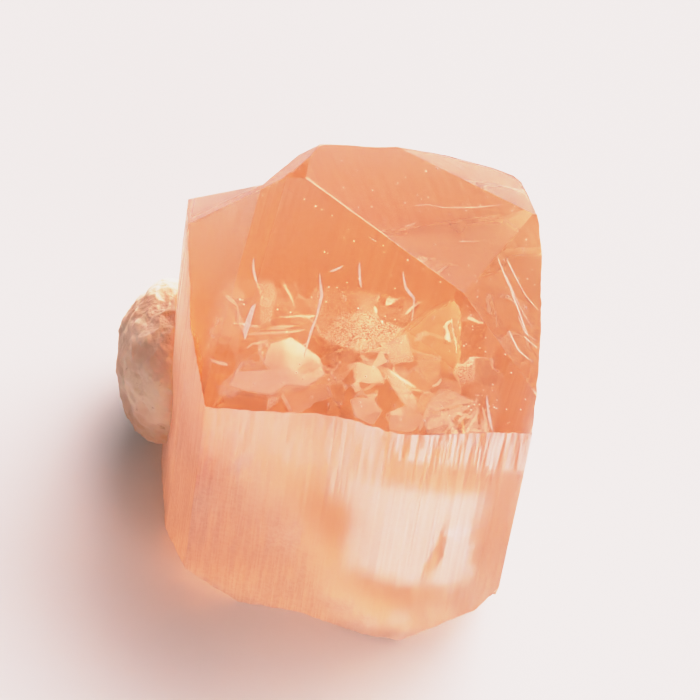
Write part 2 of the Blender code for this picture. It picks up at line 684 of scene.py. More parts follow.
@dataclass(frozen=True)
class MatrixFinish:
    """Granular pale matrix: clouds of cream and tan with iron specks, and darker brown towards its foot and
    front.
    """

    cream: Colour = (0.82, 0.66, 0.48)
    tan: Colour = (0.70, 0.47, 0.31)
    dark_brown: Colour = (0.36, 0.15, 0.06)
    clouds: Mottle = Mottle(420.0, 3.0, 0.5, 0.35, 0.65)
    grains: Mottle = Mottle(1800.0, 5.0, 0.65, 0.62, 0.72)
    speck_strength: float = 0.45
    grain_depth: float = 0.00012
    grain_strength: float = 0.8
    grain_range: Pair = (0.2, 0.8)
    roughness: Pair = (0.55, 0.80)
    glow_share: float = 0.6
    glow_spread: Triple = (1.0, 0.5, 0.3)
    glow_depth: float = 0.0016

    def material(self) -> Material:
        """Builds the material.

        Returns:
            The material, which reads one stored number: how far it turns dark brown towards its foot and
            front.
        """
        material, bench = new_material("pale_matrix")
        place = bench.object_place()
        grain = bench.noise(place, self.grains)
        body = bench.mix(bench.mask(place, self.clouds), self.tan, self.cream)
        specks = bench.ramp(grain, self.grains.low, self.grains.high) * self.speck_strength
        speckled = bench.mix(specks, body, self.dark_brown)
        smoothest, roughest = self.roughness
        # the base colour goes dark brown towards the foot and front, as the stored number says
        shader = bench.shader(
            "BsdfPrincipled",
            {
                "Base Color": bench.mix(bench.stored("dark_brown"), speckled, self.dark_brown),
                "Roughness": bench.ramp(grain, *self.grain_range) * (roughest - smoothest) + smoothest,
                "Subsurface Weight": self.glow_share,
                "Subsurface Radius": self.glow_spread,
                "Subsurface Scale": self.glow_depth,
                "Normal": bench.bump(grain, self.grain_depth, self.grain_strength),
            },
        )
        bench.output(shader)
        return material


@dataclass(frozen=True)
class PlainFinish:
    """One plain matt colour, for the studio's own surfaces."""

    name: str
    colour: Colour
    roughness: float = 0.9
    specular: float = 0.2

    def material(self) -> Material:
        """Builds the material.

        Returns:
            The material, which is the same all over.
        """
        material, bench = new_material(self.name)
        sockets = {"Base Color": self.colour, "Roughness": self.roughness}
        bench.output(bench.shader("BsdfPrincipled", sockets | {"Specular IOR Level": self.specular}))
        return material


# ---- The crystal ----


@dataclass(frozen=True)
class Axis:
    """The crystal's long axis, which leans. Outline places are in mm from where it meets the ground."""

    foot: Pair = (4.90, -4.15)
    lean: Pair = AXIS_LEAN
    crown: float = 21.3

    def to_world(self, outline: Array, height: Array) -> Array:
        """World places in mm: the outline place, moved along the axis to this height.

        Args:
            outline: Places across the axis, with 2 axes last.
            height: Heights above the ground.

        Returns:
            Places with 3 axes last.
        """
        across = outline + np.array(self.foot) + height[..., None] * np.array(self.lean)
        return np.concatenate([across, height[..., None]], axis=-1)

    def to_outline(self, across: Array, height: Array) -> Array:
        """Outline places of world places with these heights."""
        return across - np.array(self.foot) - height[..., None] * np.array(self.lean)


@dataclass(frozen=True)
class CutPlane:
    """A flat face of the crystal, tipped from level towards a heading, through a point.

    The point is (outline x, outline y, height), in mm. A plane below is tipped under level, as a chip is.
    """

    tilt_deg: float
    heading_deg: float
    point: Triple
    below: bool = False

    def height(self, axis: Axis, outline: Array) -> Array:
        """The face's height over each outline place: n . (p - q) = 0 solved for the height.

        Args:
            axis: The leaning axis.
            outline: Places across the axis.

        Returns:
            Heights in mm.
        """
        normal = tipped(90.0 + self.tilt_deg if self.below else self.tilt_deg, self.heading_deg)
        rise = normal[2] + normal[:2] @ np.array(axis.lean)
        across = (outline - np.array(self.point[:2])) @ normal[:2]
        return self.point[2] - across / rise


def end_face(tilt_deg: float, heading_deg: float, offset: Triple, axis: Axis) -> CutPlane:
    """Places an end face of the crystal.

    Args:
        tilt_deg: How far it is tipped from level.
        heading_deg: The heading that it is tipped towards.
        offset: A point on it in mm, from the crown point along the world's axes.
        axis: The leaning axis.

    Returns:
        The face, with its point in outline places.
    """
    x, y, z = offset
    point = (x - axis.lean[0] * z, y - axis.lean[1] * z, axis.crown + z)
    return CutPlane(tilt_deg, heading_deg, point)


@dataclass(frozen=True)
class Patch:
    """A soft-edged patch of film: its middle along the sides and up, its half size, and how it leans."""

    along: float
    height: float
    half_along: float
    half_height: float
    film: float
    streak: float = 0.3
    grain: float = 0.2
    soft: float = 0.35
    slant: float = 0.0

    def share(self, along: Array, height: Array) -> Array:
        """Where the patch is.

        Args:
            along: Distance along the sides.
            height: Height above the ground.

        Returns:
            1 inside the patch and 0 outside, with a soft edge.
        """
        across = np.abs(along - self.along - self.slant * (height - self.height)) / self.half_along
        up = np.abs(height - self.height) / self.half_height
        edge = 1.0 + self.soft, 1.0 - self.soft
        return smooth(*edge, across) * smooth(*edge, up)


@dataclass(frozen=True)
class EtchedSkin:
    """Where the prism faces are etched or finely cracked, and so whitish, and where painted shade darkens
    it.

    Places along the sides are in mm from the front left edge, and the left side is below 0. Each range of
    the painted shade goes from where it starts to where it is full.
    """

    wanders: tuple[Ripple, Ripple] = (Ripple(0.5, 1.6, 3, 71), Ripple(0.5, 1.6, 3, 72))
    # painted shade: low on the left the skin is made denser and dark grey, where shade falls
    shade_height: Pair = (17.0, 10.0)
    shade_along: Pair = (13.0, 7.0)
    shade_slant: float = 0.6
    shade_wander: float = 2.0
    shade_film: float = 0.85
    shade_share: float = 0.7
    patches: tuple[Patch, ...] = (
        Patch(0.0, 9.0, 40.0, 19.0, 0.04, 0.3, 0.2),
        Patch(-4.0, 9.0, 3.9, 12.0, 0.22, 0.3, 0.2),
        Patch(8.0, 15.0, 9.0, 3.5, 0.20, 0.6, 0.2),
        Patch(3.6, 15.2, 3.4, 1.9, 0.45, 0.5, 0.1),
        Patch(11.7, 17.4, 5.2, 1.7, 0.75, 1.0, 0.1, 0.25),
        Patch(8.1, 14.2, 1.3, 3.2, 0.62, 0.6, 0.1),
        Patch(11.4, 9.2, 3.0, 4.1, 0.80, 0.2, 0.2, 0.25, 0.10),
        Patch(13.1, 8.3, 0.28, 2.3, 0.05, 0.2, 0.2, 0.5, 0.14),
        Patch(13.8, 10.0, 0.45, 0.55, 0.95, 0.0, 0.1, 0.6),
        Patch(14.3, 7.8, 0.5, 1.4, 0.75, 0.1, 0.1, 0.6),
        Patch(2.2, 12.0, 0.45, 1.0, 0.65, 0.2, 0.1, 0.6, 0.3),
        Patch(4.9, 6.3, 0.9, 1.2, 0.40, 0.1, 0.3, 0.7),
        Patch(8.2, 1.9, 0.8, 0.55, 0.42, 0.0, 0.3, 0.4),
        Patch(10.0, 1.0, 0.7, 0.5, 0.36, 0.0, 0.3, 0.5, 0.5),
        Patch(11.6, 2.1, 0.6, 0.7, 0.40, 0.0, 0.3, 0.4),
        Patch(9.6, 3.5, 1.3, 0.35, 0.0, 0.0, 0.0, 0.4, 0.1),
        Patch(13.4, 4.1, 2.0, 0.5, 0.0, 0.0, 0.0, 0.4, 0.1),
    )

    def values(self, along: Array, height: Array) -> dict[str, Array]:
        """How whitish the skin is at a place, how far painted shade darkens it, and how much is in streaks
        and in grains.

        Args:
            along: Distance along the sides.
            height: Height above the ground.

        Returns:
            The stored numbers "skin", "streak", "grain" and the painted shade.
        """
        along, height = np.broadcast_arrays(along, height)
        shift_along, shift_up = (wander.at(np.stack([along, height], -1)) for wander in self.wanders)
        layers = {"film": 0.0, "streak": Patch.streak, "grain": Patch.grain}
        for patch in self.patches:
            share = patch.share(along + shift_along, height + shift_up)
            for key, under in layers.items():
                layers[key] = under * (1.0 - share) + share * getattr(patch, key)
        # painted shade: the skin grows denser and darker towards the low left of the sides
        low = smooth(*self.shade_height, height + self.shade_wander * shift_along)
        left = along + self.shade_slant * height + self.shade_wander * shift_up
        stain = low * smooth(*self.shade_along, left)
        film = layers["film"] + (self.shade_film - layers["film"]) * stain * self.shade_share
        return {"skin": film, "streak": layers["streak"], "grain": layers["grain"], "stain": stain}


@dataclass(frozen=True)
class Grooves:
    """The prism faces' relief: growth grooves along the axis in three sizes, and slow swells."""

    sizes: tuple[tuple[float, float, int], ...] = ((1.1, 0.030, 14), (0.42, 0.022, 15), (0.17, 0.012, 16))
    length: float = 9.0
    crest: float = 0.6
    sink: float = 0.03
    swell: float = 0.05
    swell_size: Pair = (5.0, 6.0)
    swell_seed: int = 20

    def push(self, walked: Array, height: Array) -> Array:
        """How far a prism face stands in or out.

        Each size (width, depth, seed) adds depth * (1 - 2 |noise|), cut off at the crest, and the noise is
        drawn out along the axis.

        Args:
            walked: Distance along the outline.
            height: Height above the ground.

        Returns:
            Distances outwards, in mm.
        """
        walked, height = np.broadcast_arrays(walked, height)
        grooves = np.zeros(walked.shape)
        for width, depth, seed in self.sizes:
            drawn_out = np.stack([walked / width, height / self.length], -1)
            ridge = 1.0 - 2.0 * np.abs(value_noise(drawn_out, seed))
            grooves += depth * np.clip(ridge, -1.0, self.crest)
        across, up = self.swell_size
        swell = value_noise(np.stack([walked / across, height / up], -1), self.swell_seed)
        return grooves - self.sink + self.swell * swell


@dataclass(frozen=True)
class RootBreak:
    """The hackly break at the root: many shallow tilted bowls, which meet along sharp ridges."""

    middle: Pair = (-4.5, 2.5)
    reach: float = 11.0
    count: int = 46
    tilt: float = 0.34
    bowl: float = 0.10
    lift: float = 0.25
    flat_share: float = 0.05
    deepest: float = 0.5
    rough: Ripple = Ripple(0.03, 0.9, 3, 32)
    seed: int = 11

    def relief(self, outline: Array) -> Array:
        """The break's hollows above the ground: the lowest of the bowls, less the level of its lowest share.

        Each bowl is h = tilt . (p - c) + bowl * |p - c|^2 + lift about a random centre c.

        Args:
            outline: Places across the axis, with 2 axes last.

        Returns:
            Heights in mm, from 0 to the deepest.
        """
        rng = np.random.default_rng(self.seed)
        centres = rng.uniform(-self.reach, self.reach, (self.count, 2))
        slopes = rng.uniform(-self.tilt, self.tilt, (self.count, 2))
        lifts = rng.uniform(0.0, self.lift, self.count)
        bowls = np.full(outline.shape[:-1], np.inf)
        for centre, slope, lift in zip(centres, slopes, lifts):
            away = outline - np.array(self.middle) - centre
            bowls = np.minimum(bowls, away @ slope + self.bowl * (away**2).sum(axis=-1) + lift)
        height = bowls - np.quantile(bowls, self.flat_share) + self.rough.at(outline)
        return np.clip(height, 0.0, self.deepest)


@dataclass(frozen=True)
class DustAndLight:
    """Fine pale dust on the end faces, and more pale film as painted light on the low right part of the two
    back ones.
    """

    film: float = 0.09
    # painted light: extra pale film that lightens the low right part of the two back faces
    more: float = 0.06
    grain: float = 0.5
    edge_start: float = 5.1
    edge_slope: float = 0.58
    edge: Pair = (-0.39, 0.91)

    def on(self, outline: Array, front: Array, others: Array) -> Array:
        """How much pale film the end faces have: dust, and painted light on the low right of the back ones.

        Args:
            outline: Places across the axis, with 2 axes last.
            front: The front face's height over them.
            others: The height of the lower of the two back faces.

        Returns:
            Numbers from 0 to 1.
        """
        low = smooth(*self.edge, self.edge_start + self.edge_slope * outline[..., 0] - outline[..., 1])
        # the second term is painted light on the low right part of the back faces
        return self.film + self.more * low * (others < front)


@dataclass
class Crystal:
    """The topaz prism: three large end faces, three bevels, striated sides and a hackly break under it."""

    axis: Axis = field(default_factory=Axis)
    outline: tuple[tuple[float, float, float, float], ...] = (
        # x, y, points to a millimetre from here to the next corner, and how frosted that side is
        (-12.45, -3.00, 12.0, 0.36),
        (-5.93, -4.32, 24.0, 0.35),
        (-2.82, -5.54, 26.0, 0.34),
        (3.61, -6.54, 8.0, 0.60),
        (3.85, -3.90, 8.0, 0.60),
        (4.22, -0.25, 8.0, 0.60),
        (4.50, 4.30, 8.0, 0.60),
        (4.42, 7.40, 8.0, 0.60),
        (4.10, 10.60, 7.0, 0.60),
        (3.95, 11.65, 9.0, 0.60),
        (3.55, 12.20, 9.0, 0.60),
        (2.40, 12.30, 7.0, 0.60),
        (-0.30, 11.75, 7.0, 0.60),
        (-3.92, 10.22, 7.0, 0.60),
        (-8.17, 8.92, 7.0, 0.60),
        (-10.02, 6.57, 7.0, 0.60),
        (-13.55, 8.90, 7.0, 0.60),
        (-13.72, 4.87, 7.0, 0.55),
        (-13.37, 0.47, 9.0, 0.45),
    )
    chips: tuple[CutPlane, ...] = (
        CutPlane(16.0, -50.0, (3.61, -6.54, 6.0), below=True),
        CutPlane(34.0, -52.0, (-0.92, -5.84, 0.0), below=True),
        CutPlane(35.0, -140.0, (-12.45, -3.00, 2.2), below=True),
        CutPlane(40.0, 50.0, (3.55, 12.20, 2.6), below=True),
    )
    ridge_headings_deg: Triple = (142.4, 62.0, -52.8)
    ridge_round: float = 0.004
    left_side: float = 8.2
    top_rows: int = 56
    bevel_rows: int = 8
    wall_rows: int = 40
    wall_crowding: float = 1.15
    chip_rows: int = 6
    base_rows: int = 18
    last_break: float = 0.985
    settle_from: float = 0.9
    root_edge: float = 0.96
    crease_deg: float = 40.0
    top_frost: float = 0.02
    base_frost: float = 1.0
    grooves: Grooves = field(default_factory=Grooves)
    root: RootBreak = field(default_factory=RootBreak)
    skin: EtchedSkin = field(default_factory=EtchedSkin)
    dust_and_light: DustAndLight = field(default_factory=DustAndLight)
    inner_share: float = 0.975
    pull_start: float = 0.93

    def __post_init__(self) -> None:
        """Makes the planes of its end."""
        axis = self.axis
        self.main_faces = {
            "front": end_face(28.0, -120.0, (0.0, 0.0, 0.0), axis),
            "back": end_face(28.9, 43.6, (0.0, 0.0, 0.0), axis),
            "right": end_face(36.5, 17.6, (0.0, 0.0, 0.0), axis),
        }
        self.bevels = {
            "back_left": end_face(24.6, 107.2, (-7.28, 5.76, 1.07), axis),
            "far_back": end_face(45.0, 54.1, (-0.95, 9.25, -3.14), axis),
            "horn": end_face(48.0, 128.0, (-13.90, 4.63, -1.26), axis),
        }

    def rim(self) -> tuple[Array, Array, Array, Array]:
        """Walks the outline, with points as close as each side asks for.

        Returns:
            Outline places, outward directions, the distance walked in mm, and each point's frost.
        """
        corners = np.array([corner[:2] for corner in self.outline])
        places, outward, walked, frosts, gone = [], [], [], [], 0.0
        for i, (_, _, density, frost) in enumerate(self.outline):
            start, end = corners[i], corners[(i + 1) % len(corners)]
            length = float(np.linalg.norm(end - start))
            count = max(3, round(length * density))
            share = np.arange(count) / count
            places.append(start + share[:, None] * (end - start))
            side = np.array([end[1] - start[1], start[0] - end[0]]) / length
            outward.append(np.repeat(side[None], count, axis=0))
            walked.append(gone + share * length)
            frosts.append(np.full(count, frost))
            gone += length
        normals = np.concatenate(outward)
        corner_normals = normals + np.roll(normals, 1, axis=0)
        normals = corner_normals / np.linalg.norm(corner_normals, axis=-1, keepdims=True)
        places = np.concatenate(places)
        for column, way in zip(self.ridge_columns(places), self.ridge_ways()):
            places[column] = way * np.linalg.norm(places[column])
        return places, normals, np.concatenate(walked), np.concatenate(frosts)

    def ridge_ways(self) -> Array:
        """The outline directions in which the ridges between the large end faces run."""
        headings = np.radians(self.ridge_headings_deg)
        return np.stack([np.cos(headings), np.sin(headings)], axis=-1)

    def ridge_columns(self, rim: Array) -> list[int]:
        """The outline points nearest to the ridges."""
        spokes = rim / np.linalg.norm(rim, axis=-1, keepdims=True)
        return [int((spokes @ way).argmax()) for way in self.ridge_ways()]

    def lines(self, rim: Array, rows: Sequence[int]) -> Whole:
        """Marks the points that lie on the crystal's edges: its rims, its ridges and its corners.

        Args:
            rim: The outline.
            rows: How many rings the top, the sides and the underside have.

        Returns:
            Bits for each point, 1 for a ring, 2 for a ridge and 4 for a corner of the prism.
        """
        marks = np.zeros((sum(rows), len(rim)), dtype=np.int32)
        marks[[self.top_rows - 1, rows[0] - 1, rows[0] + rows[1] - 1]] |= 1
        marks[: self.top_rows, self.ridge_columns(rim)] |= 2
        corners = np.array([corner[:2] for corner in self.outline])
        away = np.linalg.norm(rim[:, None] - corners, axis=-1)
        marks[rows[0] - 1 : rows[0] + rows[1], away.argmin(axis=0)] |= 4
        return np.concatenate([marks.ravel(), [2, 0]]).astype(np.int32)

    def heights(self, faces: Iterable[CutPlane], outline: Array) -> Array:
        """The height of each of these faces over each outline place, with the faces along the first axis."""
        return np.stack([face.height(self.axis, outline) for face in faces])

    def inner_top(self, outline: Array) -> Array:
        """Height of the three large end faces: the lowest of them, rounded a little where they meet.

        The rounding r turns the lowest h_min into h_min - r ln(sum of e^((h_min - h) / r)).

        Args:
            outline: Places across the axis, with 2 axes last.

        Returns:
            Heights in mm.
        """
        heights = self.heights(self.main_faces.values(), outline)
        lowest = heights.min(axis=0)
        return lowest - self.ridge_round * np.log(np.exp((lowest - heights) / self.ridge_round).sum(axis=0))

    def outer_top(self, outline: Array) -> Array:
        """Height of the bevels: the lowest of them."""
        return self.heights(self.bevels.values(), outline).min(axis=0)

    def top(self, outline: Array) -> Array:
        """Height of the crystal's end over each outline place."""
        return np.minimum(self.inner_top(outline), self.outer_top(outline))

    def bottom(self, outline: Array) -> Array:
        """Height of the chips and the ground under each outline place."""
        return np.maximum(0.0, self.heights(self.chips, outline).max(axis=0))

    def pulled_in(self, outline: Array) -> Array:
        """Draws places near or past the sides back inside them, in the same order along each spoke.

        A place's share of its spoke s becomes k + (1 - k) (1 - e^((k - s) / (1 - k))) past the start k.

        Args:
            outline: Places across the axis, with 2 axes last.

        Returns:
            The places, all inside the sides.
        """
        rim = self.rim()[0]
        heading = np.arctan2(rim[:, 1], rim[:, 0])
        order = np.argsort(heading)
        reach = self.inner_share * np.interp(
            np.arctan2(outline[..., 1], outline[..., 0]), heading[order],
            np.linalg.norm(rim, axis=-1)[order], period=2.0 * math.pi,
        )
        away = np.linalg.norm(outline, axis=-1)
        share, start = away / reach, self.pull_start
        drawn = start + (1.0 - start) * (1.0 - np.exp((start - np.maximum(share, start)) / (1.0 - start)))
        return outline * (np.where(share > start, drawn, share) / np.maximum(share, TINY))[..., None]

    def break_share(self, rim: Array, gap: Callable[[Array], Array], halvings: int = 30) -> Array:
        """Finds by halving how far out along each spoke a gap turns negative.

        Args:
            rim: The spokes' outer ends.
            gap: A number for each place that falls below 0 past the break.
            halvings: How many times the stretch that holds the break is halved.

        Returns:
            Shares of each spoke, a little short of 1 where there is no break.
        """
        low, high = np.zeros(len(rim)), np.ones(len(rim))
        for _ in range(halvings):
            middle = (low + high) / 2
            past = gap(rim * middle[:, None]) < 0
            low, high = np.where(past, low, middle), np.where(past, middle, high)
        return np.minimum((low + high) / 2, self.last_break)

    def settled(self, shares: Array, rim: Array, grooved: Array) -> Array:
        """Places at these shares of each spoke, which move onto the grooved edge as they near it."""
        settle = smooth(self.settle_from, 1.0, shares)[..., None]
        return shares[..., None] * rim + settle * (grooved - rim)

    def over_end(self, rim: Array, grooved: Array) -> Array:
        """Rings out over the large end faces, and then over the bevels.

        Args:
            rim: The outline.
            grooved: The outline with its grooves, at the height of the end.

        Returns:
            World places in mm, as (ring, place in the ring, xyz).
        """
        turn = self.break_share(rim, lambda place: self.outer_top(place) - self.inner_top(place))
        inner = np.linspace(0.0, 1.0, self.top_rows + 1)[1:, None]
        outer = np.linspace(0.0, 1.0, self.bevel_rows + 1)[1:, None]
        across = self.settled(np.concatenate([inner * turn, turn + outer * (1.0 - turn)]), rim, grooved)
        return self.axis.to_world(across, self.top(across))

    def under_root(self, rim: Array, grooved: Array) -> Array:
        """Rings in over the chips, and then over the hackly break.

        Args:
            rim: The outline.
            grooved: The outline with its grooves, at the foot of the sides.

        Returns:
            World places in mm, as (ring, place in the ring, xyz).
        """
        turn = self.break_share(rim, lambda place: TINY - self.bottom(place))
        outer = np.linspace(0.0, 1.0, self.chip_rows + 1)[1:, None]
        inner = np.linspace(0.0, 1.0, self.base_rows + 1)[1:-1, None]
        shares = np.concatenate([1.0 - outer * (1.0 - turn), turn * (1.0 - inner)])
        across = self.settled(shares, rim, grooved)
        relief = smooth(1.0, self.root_edge, shares) * self.root.relief(across)
        return self.axis.to_world(across, self.bottom(across) + relief)

    def build(self) -> Piece:
        """Makes the crystal as rings: out over the end faces, down the sides, and in under the root.

        Returns:
            The piece, with the numbers stored that its finish reads.
        """
        rim, normals, walked, side_frost = self.rim()
        pushed = rim + normals * self.grooves.push(walked, self.top(rim))[:, None]
        high = self.top(pushed)
        drop = np.linspace(0.0, 1.0, self.wall_rows + 1)[1:, None] ** self.wall_crowding
        height = high + drop * (self.bottom(rim) - high)
        side = rim + normals * self.grooves.push(walked, height)[..., None]
        sides = self.axis.to_world(side, height)
        parts = [self.over_end(rim, pushed), sides, self.under_root(rim, side[-1])]
        rings, rows = np.concatenate(parts), [len(part) for part in parts]

        crown = np.array([[0.0, 0.0]])
        first = self.axis.to_world(crown, self.top(crown))[0]
        last = self.axis.to_world(crown, self.root.relief(crown))[0]
        skin = closed_rings(rings, first, last)
        piece = mesh_object("topaz", *skin, self.crease_deg, self.lines(rim, rows))

        self.store(piece, "wall", rows, 0.0, 1.0, 0.0)
        self.store(piece, "frost", rows, self.top_frost, side_frost, self.base_frost)
        around = walked[-1] + np.linalg.norm(rim[0] - rim[-1])
        along = np.where(walked > around - self.left_side, walked - around, walked)
        end, face = rings[: rows[0] - 1], rings[rows[0] - 1 : rows[0] + rows[1]]
        place = self.axis.to_outline(end[..., :2], end[..., 2])
        front, back, right = self.heights(self.main_faces.values(), place)
        on_end = {"skin": self.dust_and_light.on(place, front, np.minimum(back, right)), "grain": self.dust_and_light.grain}
        for name, value in self.skin.values(along, face[..., 2]).items():
            self.store(piece, name, rows, on_end.get(name, 0.0), value, 0.0)
        return piece

    @staticmethod
    def store(
        piece: Piece, name: str, rows: Sequence[int], end: Array | float, side: Array | float, root: float
    ) -> None:
        """Stores a number for each point.

        Args:
            piece: The crystal.
            name: The number's name.
            rows: How many rings the top, the sides and the underside have.
            end: The number on the end faces inside their rim.
            side: The number on the prism faces and both their rims.
            root: The number on the root break.
        """
        spread = np.full((sum(rows), (len(piece.data.vertices) - 2) // sum(rows)), root)
        spread[rows[0] - 1 : rows[0] + rows[1]] = side
        spread[: rows[0] - 1] = end
        point_values(piece, name, np.concatenate([spread.ravel(), [spread[0, 0], root]]))


# ---- What is sealed in the crystal ----


class Fill(Enum):
    """What fills a piece inside the crystal, named as that piece is."""

    AIR = "open_cracks"
    FILM = "healed_crack"
    WHITE = "fine_cracks"
    ZONE = "colour_zone"


@dataclass(frozen=True)
class Flake:
    """One straight-sided patch of healed film: its middle, half size and turn in mm and degrees."""

    x: float
    y: float
    half_x: float
    half_y: float
    film: float
    turn_deg: float = 0.0
    grain: float = 0.2
    shade: float = 0.0
    corners: int = 6
    soft: float = 0.06
    uneven: float = 0.35
    reach: float = 1.05
    jagged: float = 0.22

    def share(self, place: Array, seed: int) -> Array:
        """1 inside the flake and 0 outside it.

        The border runs straight between corners at uneven angles and reaches:
        1 / r = (sin(b - t) / r_a + sin(t - a) / r_b) / sin(b - a) for a direction t between corners a and b.

        Args:
            place: Places in mm, with 2 axes last.
            seed: Which angles and reaches its corners get.

        Returns:
            Numbers from 0 to 1.
        """
        rng = np.random.default_rng(seed)
        steps = 1.0 + self.uneven * rng.uniform(-1.0, 1.0, self.corners)
        corners = np.concatenate([[0.0], np.cumsum(steps) / steps.sum()]) * 2.0 * math.pi
        reach = self.reach + self.jagged * rng.uniform(-1.0, 1.0, self.corners)
        reach = np.append(reach, reach[0])
        turn = math.radians(self.turn_deg)
        x, y = place[..., 0] - self.x, place[..., 1] - self.y
        across = (x * math.cos(turn) + y * math.sin(turn)) / self.half_x
        along = (y * math.cos(turn) - x * math.sin(turn)) / self.half_y
        heading = np.mod(np.arctan2(along, across), 2.0 * math.pi)
        side = np.clip(np.searchsorted(corners, heading, side="right") - 1, 0, self.corners - 1)
        before, after = corners[side], corners[side + 1]
        inverse = np.sin(after - heading) / reach[side] + np.sin(heading - before) / reach[side + 1]
        border = np.sin(after - before) / inverse
        return smooth(1.0 + self.soft, 1.0 - self.soft, np.hypot(across, along) / border)

    def density(self, place: Array) -> Array:
        """The film over the flake, denser towards its right where shade is above 0."""
        return self.film * (1.0 + self.shade * np.clip((place[..., 0] - self.x) / self.half_x, -1.0, 1.0))


@dataclass(frozen=True)
class Stroke:
    """A straight streak of film between two places on a crack, thinning to its ends."""

    start: Pair
    end: Pair
    wide: float
    film: float
    tip: float = 0.35
    soft: float = 0.35

    def share(self, place: Array) -> Array:
        """Where the streak is.

        At a share s of its way its width is tip + (1 - tip) 4 s (1 - s) of the widest.

        Args:
            place: Places in mm, with 2 axes last.

        Returns:
            1 on the streak's line and 0 outside its width, with a soft edge.
        """
        start, way = np.array(self.start), np.subtract(self.end, self.start)
        along = np.clip((place - start) @ way / (way @ way), 0.0, 1.0)
        away = np.linalg.norm(place - start - along[..., None] * way, axis=-1)
        wide = 0.5 * self.wide * (self.tip + (1.0 - self.tip) * 4.0 * along * (1.0 - along))
        return smooth(1.0 + self.soft, 1.0 - self.soft, away / wide)


